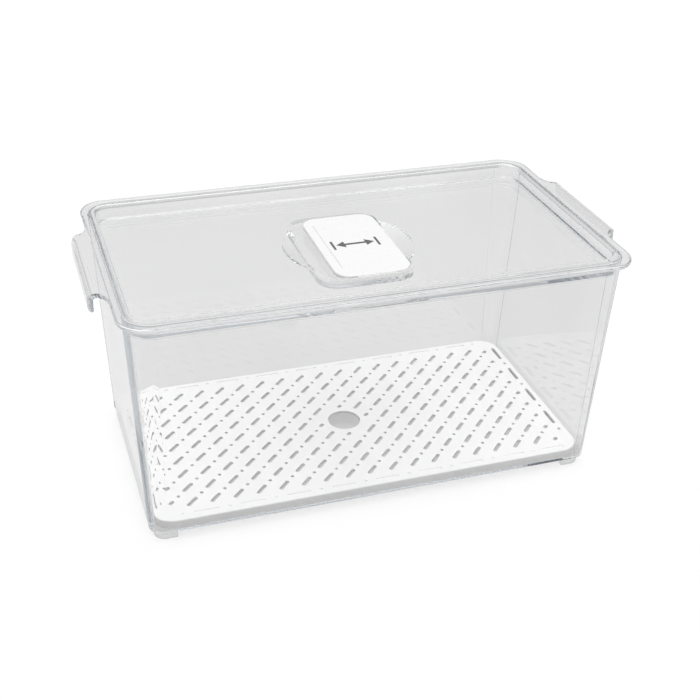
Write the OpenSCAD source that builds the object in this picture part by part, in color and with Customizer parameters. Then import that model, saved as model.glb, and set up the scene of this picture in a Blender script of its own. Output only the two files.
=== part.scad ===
// Clear storage bin for a refrigerator, with a drop-in lid, a sliding vent cover and a drain tray.
// X runs along the length, Y from front to back, Z up. The origin is on the surface that the bin
// stands on, under the middle of the bin. Lengths are in millimetres.

/* [Bin] */
// Outside length at the base
base_l = 300.8; // [240:0.2:400]
// Outside width at the base
base_w = 158.6; // [140:0.2:220]
// Outside corner radius at the base
base_r = 10; // [6:0.5:16]
// Height of the top of the rim above the standing surface
bin_h = 159; // [110:1:240]
// How far a wall leans out for each millimetre of height
lean = 0.041; // [0.02:0.001:0.06]
// Thickness of the walls
wall_t = 2.4; // [1.4:0.1:2.8]
// Thickness of the floor
floor_t = 1.5; // [1.4:0.1:4]
// Bevel around the underside
base_bevel = 0.4; // [0.2:0.1:1.6]
// How much tighter the inside corners are than a wall of even thickness would make them
corner_tighter = 3; // [0:0.1:3.2]
// Fine step beside each corner: how far the rounded corners stand out from the walls
corner_step = 0.3; // [0.1:0.1:0.6]

/* [Feet] */
// Height of the feet under the floor
foot_h = 6.3; // [3:0.1:7]
// Length of each leg of a foot along the sides
foot_leg = 15; // [12:1:30]
// Thickness of the legs of a foot
foot_t = 4; // [2:0.5:6]
// Distance of the feet in from the base outline
foot_inset = 2; // [1.8:0.2:4]
// How far a foot narrows for each millimetre towards the ground
foot_lean = 0.12; // [0:0.02:0.3]

/* [Rim] */
// Reach of the rim beyond the wall on the long sides
rim_side = 5.7; // [5:0.1:12]
// Reach of the rim beyond the wall at the short ends
rim_end = 4.3; // [4:0.1:10]
// How much rounder the rim's corners are than the wall's
rim_corner = 1.8; // [0:0.2:4]
// Thickness of the rim
rim_t = 3.4; // [3.4:0.1:5]
// Rounding of the upper outer edge of the rim
rim_round = 1.2; // [0.4:0.1:1.3]
// Rounding of the lower outer edge of the rim
rim_round_low = 2; // [0.4:0.1:2]
// Width of the ledge that carries the lid, from the inside of the wall
seat_ledge = 2.3; // [1.8:0.1:3]
// Depth of that ledge below the top of the rim
seat_depth = 2; // [1:0.1:2.4]

/* [Handles] */
// Width of each handle
handle_w = 82; // [60:1:110]
// Flat part of a handle, from the rim to the bend
handle_flat = 5.5; // [3:0.5:15]
// Outer radius of the bend between the flat part and the lip
handle_bend = 5; // [4.5:0.5:10]
// Upright lip at the outer edge of a handle, below the bend
handle_lip = 7.5; // [4:0.5:15]
// Thickness of a handle
handle_t = 3; // [2:0.1:3.4]
// Fillet between a handle and the rim, seen from above
handle_fillet = 10; // [6:0.5:16]
// Rounding of the outer corners of a handle, seen from above
handle_corner = 5; // [1:0.5:6]

/* [Lid] */
// Gap between the edge of the lid and the rim
lid_gap = 0.4; // [0.3:0.1:0.8]
// Play under the edge of the lid, above the ledge
lid_play = 0.1; // [0.05:0.05:0.3]
// Thickness of the lid at its edge
lid_t = 2.2; // [1.8:0.1:3]
// Width of the lid's raised edge on the long sides
lid_edge_side = 7; // [5.5:0.1:12]
// Width of the lid's raised edge at the short ends
lid_edge_end = 4.8; // [4.4:0.1:10]
// Depth of the panel below the lid's raised edge
recess_depth = 9; // [6:0.5:14]
// Corner radius of the panel
recess_r = 10; // [6:0.5:14]
// Thickness of the panel
panel_t = 3; // [1.6:0.1:4]
// Thickness of the wall around the panel
recess_wall_t = 1.8; // [1.2:0.1:2]
// How far that wall runs on below the panel
plug_skirt = 0.6; // [0.4:0.1:4]
// Fillet between the panel and that wall
recess_fillet = 2; // [0.6:0.1:3]
// Rounding of the outer edge of the lid
lid_round = 1.2; // [0.4:0.1:1.6]
// Rounding of the edge around the recess
recess_round = 2; // [0.6:0.1:2.2]

/* [Vent pocket] */
// Length of the pocket
pocket_l = 60; // [58:0.2:76]
// Width of the pocket
pocket_w = 88; // [80:0.5:110]
// Corner radius of the pocket
pocket_r = 11; // [6:0.5:12]
// Depth of the pocket below the panel
pocket_depth = 5.4; // [4.6:0.1:10]
// Wall thickness of the pocket
pocket_t = 1.8; // [1.8:0.1:3]
// Floor thickness of the pocket
pocket_floor_t = 2.9; // [1.8:0.1:4]
// Position of the pocket along the lid, from the middle
pocket_x = 0; // [-6:0.1:6]
// Diameter of the finger scoops where they meet the panel
scoop_d = 84.8; // [78:0.2:110]
// Depth of the dish that the scoops are part of
scoop_depth = 7; // [4:0.1:7.4]
// Diameter of the vent holes
vent_d = 5; // [3:0.1:6]
// Spacing of the vent holes
vent_pitch = 10; // [8:0.5:11.5]
// Number of vent holes
vent_count = 7; // [3:2:7]

/* [Vent slider] */
// Length of the slider
slider_l = 50.4; // [44:0.2:51.6]
// Thickness of the slider
slider_t = 2; // [1.8:0.1:2.1]
// Rounding of the slider's upper edge
slider_round = 1.2; // [0.4:0.1:1.4]
// Gap around the slider in the pocket
slider_gap = 0.4; // [0.3:0.1:0.6]
// Length of the tongues that run in the pocket's sides
tongue_l = 26; // [16:1:30]
// Reach of the tongues beyond the slider
tongue_reach = 1.5; // [1:0.1:1.6]
// Thickness of the tongues
tongue_t = 0.9; // [0.6:0.1:1]
// Play of the tongues in their grooves
tongue_gap = 0.15; // [0.1:0.05:0.3]
// Wall of the skirt that closes off the vent holes
skirt_t = 1.4; // [1:0.1:2]
// Groove across the slider for a fingertip: distance from the end
mark_inset = 6; // [3:0.5:8]
// Length of that groove
mark_l = 64; // [30:1:70]
// Width of that groove
mark_w = 1; // [0.6:0.1:1.6]
// Depth of that groove
mark_depth = 0.5; // [0.2:0.1:0.8]

/* [Drain tray] */
// Gap between the tray and the end walls
tray_gap_end = 1.2; // [0.3:0.1:3]
// Gap between the tray and the side walls
tray_gap_side = 0.4; // [0.3:0.1:3]
// Play under the tray, above the bin's floor
tray_play = 0.1; // [0.05:0.05:0.3]
// Height of the tray
tray_h = 5.9; // [4:0.1:14]
// Thickness of the tray's plate
tray_t = 2; // [1.4:0.1:3]
// Corner radius of the tray
tray_r = 14; // [8:0.5:20]
// Rounding of the tray's upper edge
tray_round = 0.8; // [0.3:0.1:1.2]
// Thickness of the upright edge that the tray stands on
tray_edge_t = 2.2; // [1.6:0.1:4]
// Diameter of the finger hole
finger_d = 22.6; // [18:0.2:26]
// Spacing of the drain slots
slot_pitch = 15.1; // [14.5:0.1:20]
// Length of a drain slot
slot_l = 10.4; // [8:0.1:12]
// Length of the short slots at the ends and around the finger hole
short_slot_l = 4.5; // [3:0.1:6]
// Width of a drain slot
slot_w = 2.8; // [1.5:0.1:3.6]
// Diameter of the small drain holes
dot_d = 2.4; // [1.5:0.1:3]
// Distance of the line of dashes from the edge of the tray
border_inset = 5; // [4.5:0.1:8]
// Length of a dash
dash_l = 16.5; // [10:0.5:18]
// Width of a dash
dash_w = 2.5; // [1:0.1:3]
// Depth of the dashes along the long sides; those at the ends go through
dash_depth = 0.6; // [0.3:0.1:1.2]
// Shift of the first dash from the middle of an edge, in slot spacings
dash_shift = 0.44; // [0.3:0.02:0.6]
// Distance of the last dash from the corner of its line
dash_end_gap = 4; // [3:0.5:12]

/* [Hidden] */
$fn = 64;
// Overlap that makes a cut run clear of a face
over = 1;
// Least width of material left between two cuts, and least inner radius
web = 1;
// Free edge around the vent holes inside the slider's skirt
vent_margin = 0.5;
// Distance that a handle's fillet keeps from the bend, and the overlap at its tip
bend_margin = 0.5;
fillet_tip = 0.2;
// Facets of the small holes and of the dish
hole_fn = 24;
dish_fn = 128;

// Worked-out sizes are kept to hundredths, so that faces meant to meet do meet
function snap(v) = round(v * 100) / 100;

// Walls of the bin
wall_h = bin_h - foot_h;
top_spread = snap(lean * wall_h);
floor_spread = snap(lean * floor_t);
top_l = base_l + 2 * top_spread;
top_w = base_w + 2 * top_spread;
top_r = base_r + top_spread;
floor_z = foot_h + floor_t;
rim_l = top_l + 2 * rim_end;
rim_w = top_w + 2 * rim_side;
rim_r = top_r + rim_corner;
rim_z = bin_h - rim_t;

// Seat of the lid in the rim
seat_l = top_l - 2 * wall_t + 2 * seat_ledge;
seat_w = top_w - 2 * wall_t + 2 * seat_ledge;
seat_r = top_r - wall_t + seat_ledge;
seat_z = bin_h - seat_depth;

// Lid
lid_l = seat_l - 2 * lid_gap;
lid_w = seat_w - 2 * lid_gap;
lid_r = seat_r - lid_gap;
lid_z = seat_z + lid_play;
lid_top = lid_z + lid_t;
recess_l = lid_l - 2 * lid_edge_end;
recess_w = lid_w - 2 * lid_edge_side;
panel_top = lid_top - recess_depth;
panel_z = panel_top - panel_t;
plug_l = recess_l + 2 * recess_wall_t;
plug_w = recess_w + 2 * recess_wall_t;
plug_r = recess_r + recess_wall_t;

// Pocket in the lid, and the dish that cuts the finger scoops beside it
pocket_floor = panel_top - pocket_depth;
pocket_z = pocket_floor - pocket_floor_t;
scoop_r = (scoop_d * scoop_d / 4 + scoop_depth * scoop_depth) / (2 * scoop_depth);
scoop_z = panel_top - scoop_depth + scoop_r;

// Slider: closed, it rests against the pocket's +X end
slider_w = pocket_w - 2 * slider_gap;
slider_r = pocket_r - slider_gap;
slider_x = pocket_x + pocket_l / 2 - slider_gap - slider_l / 2;
slider_z = panel_top - slider_t;
slider_travel = pocket_l - slider_l - 2 * slider_gap;
tongue_z = slider_z + tongue_gap;
groove_depth = tongue_reach - slider_gap + tongue_gap;

// The vent holes lie where the slider uncovers the pocket's floor
vent_x = pocket_x + pocket_l / 2 - slider_gap - slider_travel / 2;
skirt_inner_l = vent_d + 2 * vent_margin;
skirt_inner_w = (vent_count - 1) * vent_pitch + skirt_inner_l;

// Drain tray on the floor of the bin, sized at the height where it lies
tray_l = base_l + 2 * floor_spread - 2 * wall_t - 2 * tray_gap_end;
tray_w = base_w + 2 * floor_spread - 2 * wall_t - 2 * tray_gap_side;
tray_z = floor_z + tray_play;
tray_top = tray_z + tray_h;
plate_z = tray_top - tray_t;
border_x = tray_l / 2 - border_inset;
border_y = tray_w / 2 - border_inset;
slot_margin = dash_w / 2 + slot_w / 2 + web;
slot_cols = floor((border_x - slot_margin) / slot_pitch);
slot_rows = floor((border_y - slot_margin - slot_l / 4) / slot_pitch);
finger_margin = finger_d / 2 + web;

// Block with rounded upright corners, its base on z = 0, whose top is wider by s on every side
// and whose corners stand out from its sides by step
module rounded_block(l, w, r, h, s = 0, step = 0) {
    rotate([90, 0, 90])
        linear_extrude(l - 2 * r, center = true)
            polygon([[-w / 2, 0], [w / 2, 0], [w / 2 + s, h], [-w / 2 - s, h]]);
    for (side = [0, 180])
        rotate([0, 0, side])
            translate([l / 2 - r, 0, 0])
                rotate([90, 0, 0])
                    linear_extrude(w - 2 * r, center = true)
                        polygon([[0, 0], [r, 0], [r + s, h], [0, h]]);
    for (x = [0, 1], y = [0, 1])
        mirror([x, 0, 0])
            mirror([0, y, 0])
                translate([l / 2 - r, w / 2 - r, 0])
                    rotate_extrude(angle = 90)
                        polygon([[0, 0], [r + step, 0], [r + step + s, h], [0, h]]);
}

// Carries a profile around a rounded rectangle; the profile's x runs outwards from the outline
module around(l, w, r) {
    for (side = [0, 180])
        rotate([0, 0, side]) {
            translate([0, w / 2, 0])
                rotate([90, 0, 90])
                    linear_extrude(l - 2 * r, center = true)
                        children();
            translate([l / 2, 0, 0])
                rotate([90, 0, 0])
                    linear_extrude(w - 2 * r, center = true)
                        children();
        }
    for (x = [0, 1], y = [0, 1])
        mirror([x, 0, 0])
            mirror([0, y, 0])
                translate([l / 2 - r, w / 2 - r, 0])
                    rotate_extrude(angle = 90)
                        translate([r, 0])
                            children();
}

// Corner waste of a rounded edge: the edge is at the origin and the solid lies towards -x and -y
module edge_waste(r) {
    difference() {
        translate([-r, -r])
            square([r + over, r + over]);
        translate([-r, -r])
            circle(r);
    }
}

// Inner fillet: the corner is at the origin, between a floor along -x and a wall along +y
module corner_fillet(r) {
    difference() {
        translate([-r, 0])
            square([r, r]);
        translate([-r, r])
            circle(r);
    }
}

// Rounded slot lying along X
module slot(length, width, height) {
    linear_extrude(height) {
        square([length - width, width], center = true);
        for (end = [-1, 1])
            translate([end * (length - width) / 2, 0])
                circle(d = width);
    }
}

// Outer form of the bin's walls and underside
module bin_outside() {
    translate([0, 0, foot_h])
        rounded_block(
            base_l - 2 * base_bevel,
            base_w - 2 * base_bevel,
            base_r - base_bevel,
            base_bevel,
            base_bevel,
            corner_step
        );
    translate([0, 0, foot_h + base_bevel])
        rounded_block(
            base_l,
            base_w,
            base_r,
            wall_h - base_bevel,
            snap(lean * (wall_h - base_bevel)),
            corner_step
        );
}

// Space inside the bin, open at the top
module bin_inside() {
    depth = bin_h - floor_z + over;
    translate([0, 0, floor_z])
        rounded_block(
            base_l + 2 * floor_spread - 2 * wall_t,
            base_w + 2 * floor_spread - 2 * wall_t,
            max(base_r + floor_spread - wall_t - corner_tighter, web),
            depth,
            snap(lean * depth)
        );
}

// Flat rim around the mouth, with rounded outer edges
module rim() {
    difference() {
        translate([0, 0, rim_z])
            rounded_block(rim_l, rim_w, rim_r, rim_t);
        translate([0, 0, bin_h])
            around(rim_l, rim_w, rim_r)
                edge_waste(rim_round);
        translate([0, 0, rim_z])
            around(rim_l, rim_w, rim_r)
                mirror([0, 1])
                    edge_waste(rim_round_low);
    }
}

// Side view of a handle: flat part, bend and lip with a round tip
module handle_profile(root, bend_x, lip_x, tip_z) {
    bend_z = bin_h - handle_bend;
    translate([root, bin_h - handle_t])
        square([bend_x - root, handle_t]);
    translate([bend_x, bend_z])
        difference() {
            intersection() {
                circle(handle_bend);
                square(handle_bend);
            }
            circle(handle_bend - handle_t);
        }
    translate([lip_x - handle_t, tip_z + handle_t / 2])
        square([handle_t, handle_lip - handle_t / 2]);
    translate([lip_x - handle_t / 2, tip_z + handle_t / 2])
        circle(d = handle_t);
}

// Pull handle at the +X end, filleted into the rim
module handle() {
    root = rim_l / 2 - rim_end / 2;
    bend_x = rim_l / 2 + handle_flat;
    lip_x = bend_x + handle_bend;
    tip_z = bin_h - handle_bend - handle_lip;
    // The fillet starts just short of the bend
    fillet_r = max(handle_fillet, handle_flat);
    fillet_w = handle_flat - bend_margin;
    fillet_l = snap(sqrt(fillet_r * fillet_r - (fillet_r - fillet_w) * (fillet_r - fillet_w)));
    difference() {
        rotate([90, 0, 0])
            linear_extrude(handle_w, center = true)
                handle_profile(root, bend_x, lip_x, tip_z);
        for (side = [0, 1])
            mirror([0, side, 0])
                translate([lip_x, handle_w / 2, tip_z - over])
                    linear_extrude(bin_h - tip_z + 2 * over)
                        edge_waste(handle_corner);
    }
    for (side = [0, 1])
        mirror([0, side, 0])
            translate([rim_l / 2, handle_w / 2, bin_h - handle_t])
                linear_extrude(handle_t)
                    difference() {
                        translate([-rim_end / 2, -over])
                            square([rim_end / 2 + fillet_w + fillet_tip, fillet_l + over]);
                        translate([fillet_r, fillet_l])
                            circle(fillet_r);
                    }
}

// Corner foot: two legs that follow the corner of the base
module feet() {
    foot_l = base_l - 2 * foot_inset;
    foot_w = base_w - 2 * foot_inset;
    foot_r = base_r - foot_inset;
    narrowing = snap(foot_lean * foot_h);
    foot_block_h = foot_h + floor_t / 2;
    intersection() {
        difference() {
            rounded_block(
                foot_l - 2 * narrowing,
                foot_w - 2 * narrowing,
                foot_r - narrowing,
                foot_block_h,
                snap(foot_lean * foot_block_h)
            );
            translate([0, 0, -over])
                rounded_block(
                    foot_l - 2 * foot_t,
                    foot_w - 2 * foot_t,
                    max(foot_r - foot_t, web),
                    floor_z + over
                );
        }
        for (x = [-1, 1], y = [-1, 1])
            translate([x * (foot_l - foot_leg) / 2, y * (foot_w - foot_leg) / 2, floor_z / 2])
                cube([foot_leg, foot_leg, floor_z], center = true);
    }
}

// Clear box with its rim, handles and feet
module bin() {
    color("aliceblue", 0.4)
        difference() {
            union() {
                bin_outside();
                rim();
                handle();
                mirror([1, 0, 0])
                    handle();
                feet();
            }
            bin_inside();
            translate([0, 0, seat_z])
                rounded_block(seat_l, seat_w, seat_r, seat_depth + over);
        }
}

// Raised edge of the lid, with the sunk panel inside it
module lid_shell() {
    difference() {
        union() {
            translate([0, 0, lid_z])
                rounded_block(lid_l, lid_w, lid_r, lid_t);
            translate([0, 0, panel_z - plug_skirt])
                rounded_block(plug_l, plug_w, plug_r, lid_z - panel_z + plug_skirt);
        }
        translate([0, 0, panel_z - plug_skirt - over])
            rounded_block(recess_l, recess_w, recess_r, plug_skirt + over);
        translate([0, 0, panel_top])
            rounded_block(recess_l, recess_w, recess_r, recess_depth + over);
        translate([0, 0, lid_top])
            around(lid_l, lid_w, lid_r)
                edge_waste(lid_round);
        translate([0, 0, lid_top])
            around(recess_l, recess_w, recess_r)
                mirror([1, 0])
                    edge_waste(recess_round);
    }
    translate([0, 0, panel_top])
        around(recess_l, recess_w, recess_r)
            corner_fillet(recess_fillet);
}

// Dish of one wall thickness under the panel, around the pocket
module scoop_shell() {
    intersection() {
        translate([0, 0, scoop_z])
            sphere(scoop_r + panel_t, $fn = dish_fn);
        translate([-scoop_d, -scoop_d, pocket_z])
            cube([2 * scoop_d, 2 * scoop_d, panel_top - panel_t / 2 - pocket_z]);
    }
}

// Outside of the pocket that hangs below the panel
module pocket_shell() {
    translate([pocket_x, 0, pocket_z])
        rounded_block(
            pocket_l + 2 * pocket_t,
            pocket_w + 2 * pocket_t,
            pocket_r + pocket_t,
            panel_top - panel_t / 2 - pocket_z
        );
}

// Grooves in the pocket's long sides that hold the slider down
module tongue_grooves() {
    for (side = [-1, 1])
        translate([
            slider_x - slider_travel / 2,
            side * (pocket_w / 2 + (groove_depth - over) / 2),
            tongue_z - tongue_gap
        ])
            translate([0, 0, (tongue_t + 2 * tongue_gap) / 2])
                cube(
                    [
                        tongue_l + slider_travel + 2 * slider_gap,
                        groove_depth + over,
                        tongue_t + 2 * tongue_gap
                    ],
                    center = true
                );
}

// Row of vent holes through the pocket's floor
module vent_holes() {
    for (k = [0 : vent_count - 1])
        translate([vent_x, (k - (vent_count - 1) / 2) * vent_pitch, pocket_z - over])
            cylinder(h = pocket_floor_t + 2 * over, d = vent_d);
}

// Clear lid with its pocket and finger scoops
module lid() {
    color("lightcyan", 0.4)
        difference() {
            union() {
                lid_shell();
                scoop_shell();
                pocket_shell();
            }
            translate([pocket_x, 0, pocket_floor])
                rounded_block(pocket_l, pocket_w, pocket_r, pocket_depth + over);
            translate([0, 0, scoop_z])
                sphere(scoop_r, $fn = dish_fn);
            tongue_grooves();
            vent_holes();
        }
}

// White plate that slides in the pocket, with tongues and a skirt round the vent holes
module vent_slider() {
    skirt_h = slider_z - pocket_floor - slider_gap;
    color("white") {
        difference() {
            translate([slider_x, 0, slider_z])
                rounded_block(slider_l, slider_w, slider_r, slider_t);
            translate([slider_x, 0, panel_top])
                around(slider_l, slider_w, slider_r)
                    edge_waste(slider_round);
            translate([slider_x - slider_l / 2 + mark_inset, 0, panel_top - mark_depth])
                rotate([0, 0, 90])
                    slot(mark_l, mark_w, mark_depth + over);
        }
        for (side = [-1, 1])
            translate([slider_x, side * (slider_w + tongue_reach - over) / 2, tongue_z + tongue_t / 2])
                cube([tongue_l, tongue_reach + over, tongue_t], center = true);
        translate([vent_x, 0, slider_z - skirt_h])
            linear_extrude(skirt_h + slider_t / 2)
                difference() {
                    square([skirt_inner_l + 2 * skirt_t, skirt_inner_w + 2 * skirt_t], center = true);
                    square([skirt_inner_l, skirt_inner_w], center = true);
                }
    }
}

// Slots of the tray's diagonal pattern: full ones, and short ones at the ends and by the finger hole
module drain_slots() {
    height = tray_t + 2 * over;
    shift = (slot_l - short_slot_l) / 2;
    for (i = [-slot_cols : slot_cols], k = [-slot_rows : slot_rows]) {
        reach = norm([i, k]) * slot_pitch;
        at_end = abs(i) == slot_cols;
        by_hole = reach < finger_margin + slot_l / 2;
        side = at_end ? -sign(i) : sign(i + k);
        if (reach > finger_margin)
            translate([i * slot_pitch, k * slot_pitch, plate_z - over])
                rotate([0, 0, 45])
                    if (at_end || by_hole)
                        translate([side * shift, 0, 0])
                            slot(short_slot_l, slot_w, height);
                    else
                        slot(slot_l, slot_w, height);
    }
}

// Small holes midway between the slots
module drain_dots() {
    for (i = [-slot_cols : slot_cols - 1], k = [-slot_rows : slot_rows - 1]) {
        spot = [(i + 0.5) * slot_pitch, (k + 0.5) * slot_pitch];
        if (norm(spot) > finger_margin + dot_d / 2)
            translate([spot[0], spot[1], plate_z - over])
                cylinder(h = tray_t + 2 * over, d = dot_d, $fn = hole_fn);
    }
}

// One line of dashes and dots along X, cut into the top of the tray
module dash_line(reach, start, depth) {
    count = ceil(reach / slot_pitch);
    for (m = [-count : count]) {
        at = start + m * slot_pitch;
        is_dash = m % 2 == 0;
        if (abs(at) + (is_dash ? dash_l : dot_d) / 2 < reach)
            translate([at, 0, tray_top - depth])
                if (is_dash)
                    slot(dash_l, dash_w, depth + over);
                else
                    cylinder(h = depth + over, d = dot_d, $fn = hole_fn);
    }
}

// Dashes along all four edges of the tray
module border_dashes() {
    for (side = [0, 180])
        rotate([0, 0, side]) {
            translate([0, border_y, 0])
                dash_line(border_x - dash_end_gap, -dash_shift * slot_pitch, dash_depth);
            translate([border_x, 0, 0])
                rotate([0, 0, 90])
                    dash_line(border_y - dash_end_gap, -dash_shift * slot_pitch, tray_t + over);
        }
}

// White perforated plate with a turned-down edge, standing on the bin's floor
module drain_tray() {
    color("whitesmoke")
        difference() {
            translate([0, 0, tray_z])
                rounded_block(tray_l, tray_w, tray_r, tray_h);
            translate([0, 0, tray_z - over])
                rounded_block(
                    tray_l - 2 * tray_edge_t,
                    tray_w - 2 * tray_edge_t,
                    tray_r - tray_edge_t,
                    tray_h - tray_t + over
                );
            translate([0, 0, tray_top])
                around(tray_l, tray_w, tray_r)
                    edge_waste(tray_round);
            translate([0, 0, plate_z - over])
                cylinder(h = tray_t + 2 * over, d = finger_d);
            drain_slots();
            drain_dots();
            border_dashes();
        }
}

bin();
lid();
vent_slider();
drain_tray();
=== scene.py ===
import math

import bmesh
import bpy
from mathutils import Matrix, Vector


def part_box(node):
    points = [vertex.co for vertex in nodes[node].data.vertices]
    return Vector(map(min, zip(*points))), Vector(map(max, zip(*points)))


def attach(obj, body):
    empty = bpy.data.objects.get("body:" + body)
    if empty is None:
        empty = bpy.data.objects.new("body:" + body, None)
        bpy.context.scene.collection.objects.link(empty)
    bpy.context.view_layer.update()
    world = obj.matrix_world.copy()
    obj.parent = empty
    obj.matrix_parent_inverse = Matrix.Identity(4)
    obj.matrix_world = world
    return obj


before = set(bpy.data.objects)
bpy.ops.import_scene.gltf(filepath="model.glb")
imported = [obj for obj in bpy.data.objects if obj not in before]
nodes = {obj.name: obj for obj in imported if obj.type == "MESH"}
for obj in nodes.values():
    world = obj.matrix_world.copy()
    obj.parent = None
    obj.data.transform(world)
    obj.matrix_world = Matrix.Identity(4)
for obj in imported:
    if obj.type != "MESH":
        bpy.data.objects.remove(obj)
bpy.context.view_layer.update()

# Camera: where it looks from, in degrees and metres in the frame of the part
CAMERA_AZIMUTH = -19.25
CAMERA_ELEVATION = 30.94
CAMERA_ROLL = 1.80
CAMERA_DISTANCE = 0.79782
CAMERA_TARGET = Vector((0.00316, 0.0, 0.06995))
CAMERA_NEAR = 0.01
IMAGE_SIDE = 700
FOCAL_PIXELS = 1170.48
SENSOR_MM = 36.0

# Clear plastic: what one wall lets through, and the tint of a long way through it
BIN_TINT = (0.93, 0.93, 0.93)
LID_TINT = (0.985, 0.985, 0.985)
DEPTH_TINT = (0.80, 0.82, 0.84)
DEPTH_DENSITY = 11.0
PLASTIC_IOR = 1.55

# Unevenness of clear plastic: features per metre, with the size of the unevenness
TINT_CLOUDS = 11.0
WIPING_MARKS = 60.0
WIPING_STRETCH = (1.0, 6.0, 0.4)
WIPING_ROUGHNESS = 0.012
FLOW_RIPPLES = 22.0
FLOW_DEPTH = 0.000015

# White plastic: colour, roughness, bumps of the grain per metre and their depth in metres
SLIDER_WHITE = (0.78, 0.78, 0.78)
SLIDER_ROUGHNESS = 0.3
SLIDER_GRAIN = 1800.0
SLIDER_GRAIN_DEPTH = 0.000003
TRAY_WHITE = (0.93, 0.93, 0.93)
TRAY_ROUGHNESS = 0.42
TRAY_GRAIN = 1400.0
TRAY_GRAIN_DEPTH = 0.00002
WHITE_CLOUDS = 18.0
HANDLING_MARKS = 140.0
ROUGHNESS_SPREAD = 0.15

# Print: colour, full and thin ink, and uneven sheen
PRINT_GREY = (0.075, 0.075, 0.08)
INK_SPECKS = 900.0
INK_FULL = 0.9
INK_THIN = 1.5
INK_THIN_FROM = 0.35
INK_SHEEN_MARKS = 500.0
INK_ROUGHNESS = (0.35, 0.55)

# Every plastic: how far its colour goes either way in clouds, over the middle range of a noise
CLOUD_DARK = 0.985
CLOUD_LIGHT = 1.01
NOISE_LOW = 0.3
NOISE_HIGH = 0.7

# Arrow on the slider, in metres
ARROW_LENGTH = 0.026
ARROW_HEAD = 0.006
ARROW_HEAD_WIDTH = 0.0085
ARROW_SHAFT = 0.0022
ARROW_BAR = 0.0016
ARROW_BAR_LENGTH = 0.012
ARROW_BAR_GAP = 0.0012
PRINT_DEPTH = 0.00005

# Studio: height of a sky direction above the horizon (0 level, 1 overhead), and its brightness
SKY = [
    (0.00, 0.50),
    (0.25, 0.62),
    (0.45, 0.74),
    (0.55, 0.76),
    (1.00, 2.15),
]
# Brightness of the sky as the camera itself sees it
SKY_SEEN = 1.0
# Floor: its own glow as the camera and as glass see it, and its colour to the eye and to light
FLOOR_SIDE = 8.0
FLOOR_GLOW = 0.76
FLOOR_GLOW_IN_GLASS = 0.605
FLOOR_SEEN = 0.21
FLOOR_LIT = 0.30

# Light that runs along inside a clear wall is reflected many times before it comes out
LIGHT_BOUNCES = 1024

# Sockets of a Mix node that mixes colours
MIX_FACTOR = 0
MIX_FIRST = 6
MIX_SECOND = 7
MIX_RESULT = 2


def make_camera():
    azimuth = math.radians(CAMERA_AZIMUTH)
    elevation = math.radians(CAMERA_ELEVATION)
    roll = math.radians(CAMERA_ROLL)
    back = Vector((
        math.sin(azimuth) * math.cos(elevation),
        -math.cos(azimuth) * math.cos(elevation),
        math.sin(elevation),
    ))
    level = Vector((math.cos(azimuth), math.sin(azimuth), 0.0))
    upright = back.cross(level)
    right = math.cos(roll) * level + math.sin(roll) * upright
    up = back.cross(right)
    data = bpy.data.cameras.new("camera")
    data.sensor_width = SENSOR_MM
    data.lens = FOCAL_PIXELS / IMAGE_SIDE * SENSOR_MM
    data.clip_start = CAMERA_NEAR
    camera = bpy.data.objects.new("camera", data)
    place = Matrix((right, up, back)).transposed().to_4x4()
    place.translation = CAMERA_TARGET + CAMERA_DISTANCE * back
    camera.matrix_world = place
    bpy.context.scene.collection.objects.link(camera)
    bpy.context.scene.camera = camera


def grey(level):
    return (level, level, level, 1.0)


def scaled(colour, factor):
    return tuple(min(1.0, part * factor) for part in colour) + (1.0,)


class Graph:
    """Short calls for building a node tree."""

    def __init__(self, tree):
        self.tree = tree
        tree.nodes.clear()

    def node(self, kind, **settings):
        made = self.tree.nodes.new(kind)
        for name, value in settings.items():
            setattr(made, name, value)
        return made

    def link(self, a, b):
        self.tree.links.new(a, b)

    def noise(self, scale, detail=2.0, stretch=(1.0, 1.0, 1.0)):
        """Noise over the piece; scale counts features per metre."""
        place = self.node("ShaderNodeTexCoord")
        mapping = self.node("ShaderNodeMapping")
        mapping.inputs["Scale"].default_value = stretch
        noise = self.node("ShaderNodeTexNoise")
        noise.inputs["Scale"].default_value = scale
        noise.inputs["Detail"].default_value = detail
        self.link(place.outputs["Object"], mapping.inputs["Vector"])
        self.link(mapping.outputs["Vector"], noise.inputs["Vector"])
        return noise.outputs["Fac"]

    def ramp(self, value, stops):
        """Colour for a value between 0 and 1."""
        made = self.node("ShaderNodeValToRGB")
        elements = made.color_ramp.elements
        elements[0].position, elements[0].color = stops[0]
        elements[1].position, elements[1].color = stops[-1]
        for position, colour in stops[1:-1]:
            elements.new(position).color = colour
        self.link(value, made.inputs["Fac"])
        return made.outputs["Color"]

    def between(self, value, low, high, start=NOISE_LOW, stop=NOISE_HIGH):
        """Maps the range from start to stop, by default a noise's middle, to low and high."""
        made = self.node("ShaderNodeMapRange")
        made.inputs["From Min"].default_value = start
        made.inputs["From Max"].default_value = stop
        made.inputs["To Min"].default_value = low
        made.inputs["To Max"].default_value = high
        self.link(value, made.inputs["Value"])
        return made.outputs["Result"]

    def bump(self, height, depth):
        """Surface normal of a relief whose full height is depth, in metres."""
        made = self.node("ShaderNodeBump")
        made.inputs["Distance"].default_value = depth
        self.link(height, made.inputs["Height"])
        return made.outputs["Normal"]

    def clouded(self, value, colour):
        """The colour, a little darker and lighter in clouds."""
        return self.ramp(value, [
            (NOISE_LOW, scaled(colour, CLOUD_DARK)),
            (NOISE_HIGH, scaled(colour, CLOUD_LIGHT)),
        ])


def new_material(name):
    material = bpy.data.materials.new(name)
    material.use_nodes = True
    g = Graph(material.node_tree)
    out = g.node("ShaderNodeOutputMaterial")
    skin = g.node("ShaderNodeBsdfPrincipled")
    g.link(skin.outputs["BSDF"], out.inputs["Surface"])
    return material, g, skin, out


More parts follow.
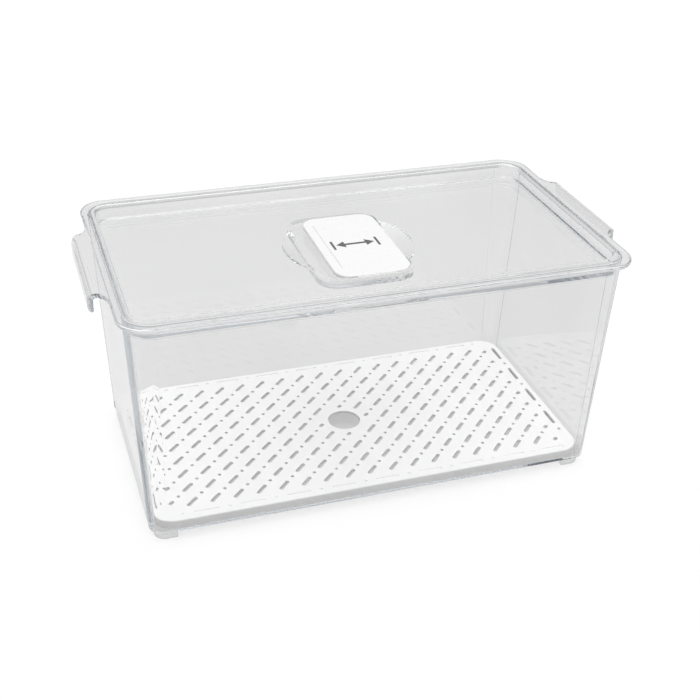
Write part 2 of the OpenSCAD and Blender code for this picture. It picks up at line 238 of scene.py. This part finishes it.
def clear_plastic(name, tint):
    """Moulded clear plastic: slow flow ripples, faint wiping marks and an uneven tint."""
    material, g, skin, out = new_material(name)
    g.link(g.clouded(g.noise(TINT_CLOUDS, detail=0.0), tint), skin.inputs["Base Color"])
    wiping = g.noise(WIPING_MARKS, detail=1.0, stretch=WIPING_STRETCH)
    g.link(g.between(wiping, 0.0, WIPING_ROUGHNESS), skin.inputs["Roughness"])
    g.link(g.bump(g.noise(FLOW_RIPPLES, detail=0.0), FLOW_DEPTH), skin.inputs["Normal"])
    skin.inputs["IOR"].default_value = PLASTIC_IOR
    skin.inputs["Transmission Weight"].default_value = 1.0
    bulk = g.node("ShaderNodeVolumeAbsorption")
    bulk.inputs["Color"].default_value = DEPTH_TINT + (1.0,)
    bulk.inputs["Density"].default_value = DEPTH_DENSITY
    g.link(bulk.outputs["Volume"], out.inputs["Volume"])
    return material


def white_plastic(name, colour, roughness, grain, grain_depth):
    """White moulding with a fine grain; grain counts its bumps per metre."""
    material, g, skin, _ = new_material(name)
    g.link(g.clouded(g.noise(WHITE_CLOUDS), colour), skin.inputs["Base Color"])
    smooth = (1.0 - ROUGHNESS_SPREAD) * roughness
    rough = (1.0 + ROUGHNESS_SPREAD) * roughness
    handling = g.noise(HANDLING_MARKS, detail=3.0)
    g.link(g.between(handling, smooth, rough), skin.inputs["Roughness"])
    g.link(g.bump(g.noise(grain), grain_depth), skin.inputs["Normal"])
    return material


def print_ink(name, colour):
    """Pad print: slightly uneven ink."""
    material, g, skin, _ = new_material(name)
    specks = g.ramp(g.noise(INK_SPECKS, detail=3.0), [
        (INK_THIN_FROM, scaled(colour, INK_FULL)),
        (NOISE_HIGH, scaled(colour, INK_THIN)),
    ])
    g.link(specks, skin.inputs["Base Color"])
    g.link(g.between(g.noise(INK_SHEEN_MARKS), *INK_ROUGHNESS), skin.inputs["Roughness"])
    return material


def seen_rays(g):
    """1 for camera, mirror and see-through rays that haven't yet met a matt surface."""
    path = g.node("ShaderNodeLightPath")
    first = g.node("ShaderNodeMath", operation="MAXIMUM")
    seen = g.node("ShaderNodeMath", operation="MAXIMUM")
    g.link(path.outputs["Is Camera Ray"], first.inputs[0])
    g.link(path.outputs["Is Glossy Ray"], first.inputs[1])
    g.link(first.outputs[0], seen.inputs[0])
    g.link(path.outputs["Is Transmission Ray"], seen.inputs[1])
    # Diffuse Depth is a whole number, so less than a half means none
    unscattered = g.node("ShaderNodeMath", operation="LESS_THAN")
    unscattered.inputs[1].default_value = 0.5
    g.link(path.outputs["Diffuse Depth"], unscattered.inputs[0])
    both = g.node("ShaderNodeMath", operation="MULTIPLY")
    g.link(seen.outputs[0], both.inputs[0])
    g.link(unscattered.outputs[0], both.inputs[1])
    return both.outputs[0]


def make_floor():
    bpy.ops.mesh.primitive_plane_add(size=FLOOR_SIDE, location=(0.0, 0.0, 0.0))
    floor = bpy.context.object
    floor.name = "floor"
    material = bpy.data.materials.new("floor")
    material.use_nodes = True
    g = Graph(material.node_tree)
    out = g.node("ShaderNodeOutputMaterial")
    lit = g.node("ShaderNodeBsdfDiffuse")
    lit.inputs["Color"].default_value = grey(FLOOR_LIT)
    paper = g.node("ShaderNodeBsdfDiffuse")
    paper.inputs["Color"].default_value = grey(FLOOR_SEEN)
    glow = g.node("ShaderNodeEmission")
    path = g.node("ShaderNodeLightPath")
    g.link(
        g.between(path.outputs["Is Camera Ray"], FLOOR_GLOW_IN_GLASS, FLOOR_GLOW, 0.0, 1.0),
        glow.inputs["Strength"],
    )
    both = g.node("ShaderNodeAddShader")
    choice = g.node("ShaderNodeMixShader")
    g.link(paper.outputs[0], both.inputs[0])
    g.link(glow.outputs[0], both.inputs[1])
    g.link(seen_rays(g), choice.inputs[0])
    g.link(lit.outputs[0], choice.inputs[1])
    g.link(both.outputs[0], choice.inputs[2])
    g.link(choice.outputs[0], out.inputs["Surface"])
    floor.data.materials.append(material)


def make_world():
    """Soft sky for the object to mirror and be lit by; the camera itself sees white."""
    world = bpy.data.worlds.new("studio")
    world.use_nodes = True
    bpy.context.scene.world = world
    g = Graph(world.node_tree)
    out = g.node("ShaderNodeOutputWorld")
    place = g.node("ShaderNodeTexCoord")
    split = g.node("ShaderNodeSeparateXYZ")
    g.link(place.outputs["Generated"], split.inputs[0])
    sky = g.ramp(split.outputs["Z"], [(height, grey(level)) for height, level in SKY])
    path = g.node("ShaderNodeLightPath")
    mix = g.node("ShaderNodeMix", data_type="RGBA")
    mix.inputs[MIX_SECOND].default_value = grey(SKY_SEEN)
    g.link(path.outputs["Is Camera Ray"], mix.inputs[MIX_FACTOR])
    g.link(sky, mix.inputs[MIX_FIRST])
    back = g.node("ShaderNodeBackground")
    g.link(mix.outputs[MIX_RESULT], back.inputs["Color"])
    g.link(back.outputs[0], out.inputs["Surface"])


def add_prism(mesh, outline, low, high):
    """Adds an upright prism over a flat outline."""
    floor = [mesh.verts.new((x, y, low)) for x, y in outline]
    roof = [mesh.verts.new((x, y, high)) for x, y in outline]
    count = len(outline)
    mesh.faces.new(roof)
    mesh.faces.new(floor[::-1])
    for k in range(count):
        n = (k + 1) % count
        mesh.faces.new((floor[k], floor[n], roof[n], roof[k]))


def make_arrow(material):
    """Printed sign that the cover slides: an arrow with two heads between two bars."""
    low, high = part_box("vent_slider")
    middle_x = (low[0] + high[0]) / 2
    middle_y = (low[1] + high[1]) / 2
    half = ARROW_LENGTH / 2
    neck = half - ARROW_HEAD
    shaft = ARROW_SHAFT / 2
    barb = ARROW_HEAD_WIDTH / 2
    right = [(neck, -shaft), (neck, -barb), (half, 0.0), (neck, barb), (neck, shaft)]
    left = [(-x, -y) for x, y in right]
    mesh = bmesh.new()
    bottom = high[2]
    top = high[2] + PRINT_DEPTH
    add_prism(mesh, [(middle_x + x, middle_y + y) for x, y in right + left], bottom, top)
    inner = half + ARROW_BAR_GAP
    outer = inner + ARROW_BAR
    reach = ARROW_BAR_LENGTH / 2
    for side in (-1, 1):
        bar = [(inner, -reach), (outer, -reach), (outer, reach), (inner, reach)]
        add_prism(mesh, [(middle_x + side * x, middle_y + side * y) for x, y in bar], bottom, top)
    data = bpy.data.meshes.new("slide_arrow")
    mesh.to_mesh(data)
    mesh.free()
    data.materials.append(material)
    arrow = bpy.data.objects.new("slide_arrow", data)
    bpy.context.scene.collection.objects.link(arrow)
    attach(arrow, "vent_slider")


make_camera()
make_floor()
make_world()

looks = {
    "bin": clear_plastic("clear_bin", BIN_TINT),
    "lid": clear_plastic("clear_lid", LID_TINT),
    "vent_slider": white_plastic(
        "white_slider", SLIDER_WHITE, SLIDER_ROUGHNESS, SLIDER_GRAIN, SLIDER_GRAIN_DEPTH
    ),
    "drain_tray": white_plastic(
        "white_tray", TRAY_WHITE, TRAY_ROUGHNESS, TRAY_GRAIN, TRAY_GRAIN_DEPTH
    ),
}
for name, material in looks.items():
    piece = nodes[name]
    piece.data.materials.clear()
    piece.data.materials.append(material)
make_arrow(print_ink("print_grey", PRINT_GREY))

scene = bpy.context.scene
scene.view_settings.view_transform = "Standard"
scene.cycles.transmission_bounces = LIGHT_BOUNCES
scene.cycles.max_bounces = LIGHT_BOUNCES
scene.cycles.glossy_bounces = LIGHT_BOUNCES
# Mirror images stay sharp after a matt bounce
scene.cycles.blur_glossy = 0.0
